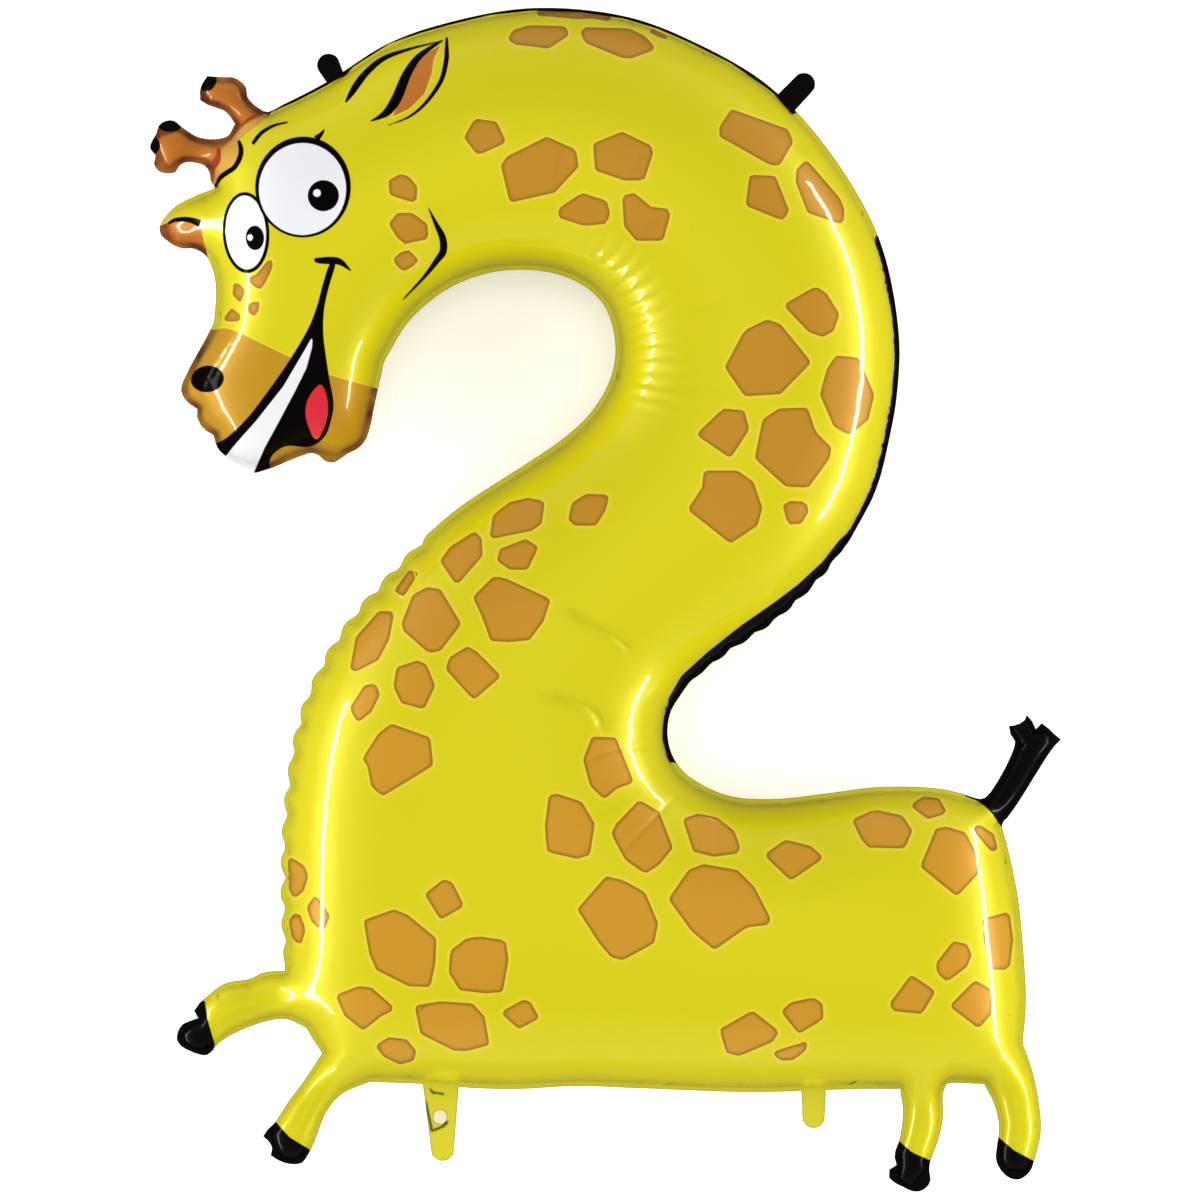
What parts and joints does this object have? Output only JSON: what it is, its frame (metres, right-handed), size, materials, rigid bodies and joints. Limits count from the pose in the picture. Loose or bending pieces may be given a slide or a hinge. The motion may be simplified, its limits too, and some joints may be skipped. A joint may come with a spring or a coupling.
{
  "type": "giraffe foil balloon",
  "caption": "Inflated foil balloon shaped as a figure two with a giraffe's head, legs and tail, lying face up.",
  "frame": {"origin": "centre of the outline on the surface that the balloon lies on", "axes": "+X to the right of the drawn figure, +Y from hooves to crown, +Z out of the printed face"},
  "size_m": [0.7816, 1.0156, 0.18],
  "materials": {
    "printed_foil": "glossy printed metallised film, yellow with brown patches, black line work and a brown muzzle",
    "valve_film": "milky translucent film"
  },
  "bodies": {
    "root": {"foil_balloon": "printed_foil", "filling_valve": "valve_film"}
  },
  "joints": []
}
